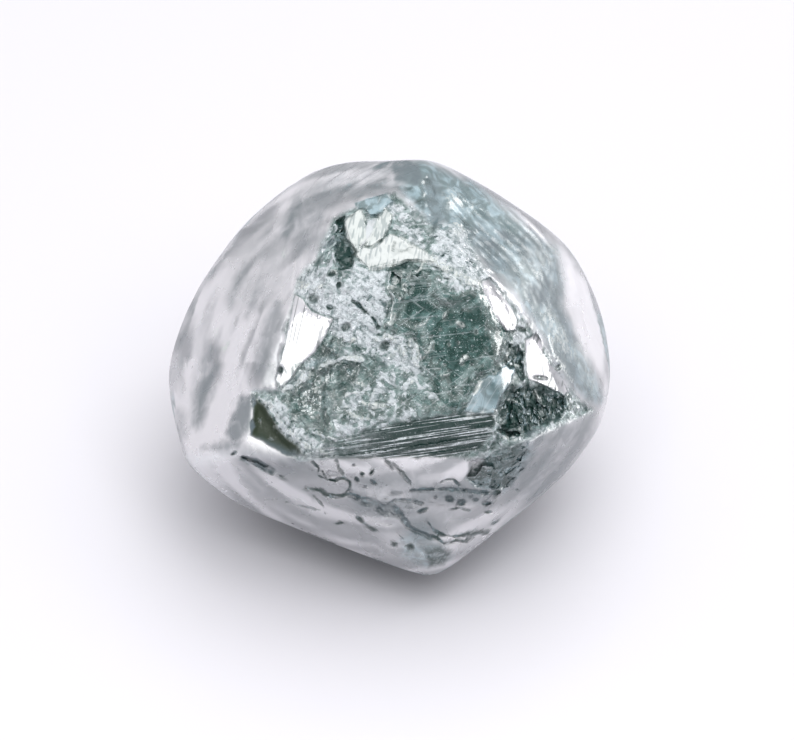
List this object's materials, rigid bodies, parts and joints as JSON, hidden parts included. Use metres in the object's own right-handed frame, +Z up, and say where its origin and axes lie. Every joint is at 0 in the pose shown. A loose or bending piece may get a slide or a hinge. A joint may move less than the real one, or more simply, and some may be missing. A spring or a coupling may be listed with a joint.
{
  "type": "rough diamond",
  "caption": "Uncut grey-green diamond crystal: rounded natural faces, a broken glassy front with bright facets, and a flat face it rests on.",
  "frame": {"origin": "centre of the bounding box's bottom, on the flat face the stone rests on", "axes": "+Z up; the broken front face looks towards -Y and up by about 40 degrees; X is across the front and is the stone's longest way"},
  "size_m": [0.007, 0.0066, 0.0063],
  "materials": {
    "grey_green_diamond": "clear, included grey-green crystal; glossy natural faces, frosted and splintered where broken"
  },
  "bodies": {
    "root": {"rough_diamond": "grey_green_diamond"}
  },
  "joints": []
}
